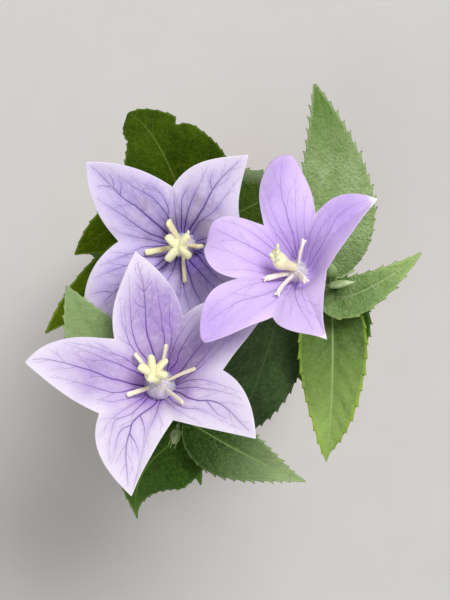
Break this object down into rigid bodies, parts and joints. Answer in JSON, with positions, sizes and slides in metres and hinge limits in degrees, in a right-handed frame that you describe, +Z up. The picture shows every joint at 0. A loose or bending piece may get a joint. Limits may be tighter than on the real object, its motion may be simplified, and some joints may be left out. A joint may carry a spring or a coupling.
{
  "type": "potted balloon flower",
  "caption": "Flowering perennial in a plain clay pot, with open five-lobed bell blooms on leafy upright stems over potting soil.",
  "frame": {"origin": "centre of the pot's underside, on the surface that the pot stands on", "axes": "+Z up, +Y away from someone who faces the front bloom, +X to their right"},
  "size_m": [0.1103, 0.1287, 0.2491],
  "materials": {
    "clay": "unglazed matte",
    "potting_soil": "crumbly matte",
    "stem": "satin",
    "calyx": "satin",
    "bud": "satin",
    "leaf_dark": "satin",
    "leaf_mid": "satin",
    "leaf_light": "satin",
    "petal_pale": "soft matte",
    "petal_grey": "soft matte",
    "petal_violet": "soft matte",
    "stamen": "downy matte",
    "stigma": "downy matte"
  },
  "bodies": {
    "root": {"pot": "clay", "soil": "potting_soil", "stem_a": "stem", "stem_b": "stem", "stem_c": "stem", "stem_d": "stem", "leaf_back_left": "leaf_dark", "leaf_back_right": "leaf_light", "leaf_right": "leaf_light", "leaf_front_right": "leaf_mid", "leaf_right_under": "leaf_mid", "leaf_centre": "leaf_dark", "leaf_front_mid": "leaf_mid", "leaf_front_left": "leaf_dark", "leaf_front_small": "leaf_mid", "leaf_left_pale": "leaf_light", "leaf_left_slim": "leaf_mid", "leaf_left": "leaf_dark", "leaf_middle": "leaf_dark", "leaf_shoot_young": "leaf_light", "leaf_low_a1": "leaf_mid", "leaf_low_a2": "leaf_mid", "leaf_low_a3": "leaf_mid", "leaf_low_a4": "leaf_mid", "leaf_low_b5": "leaf_mid", "leaf_low_b6": "leaf_mid", "leaf_low_b7": "leaf_mid", "leaf_low_b8": "leaf_mid", "leaf_low_c9": "leaf_mid", "leaf_low_c10": "leaf_mid", "leaf_low_c11": "leaf_mid", "leaf_low_d12": "leaf_mid", "leaf_low_d13": "leaf_mid", "leaf_low_d14": "leaf_mid", "corolla_a": "petal_pale", "corolla_b": "petal_grey", "corolla_c": "petal_violet", "calyx_a": "calyx", "calyx_b": "calyx", "calyx_c": "calyx", "stamens_a": "stamen", "stamens_b": "stamen", "stamens_c": "stamen", "style_a": "stigma", "style_b": "stigma", "style_c": "stigma", "bud_round": "bud", "bud_slim": "bud", "bud_front": "bud"}
  },
  "joints": []
}
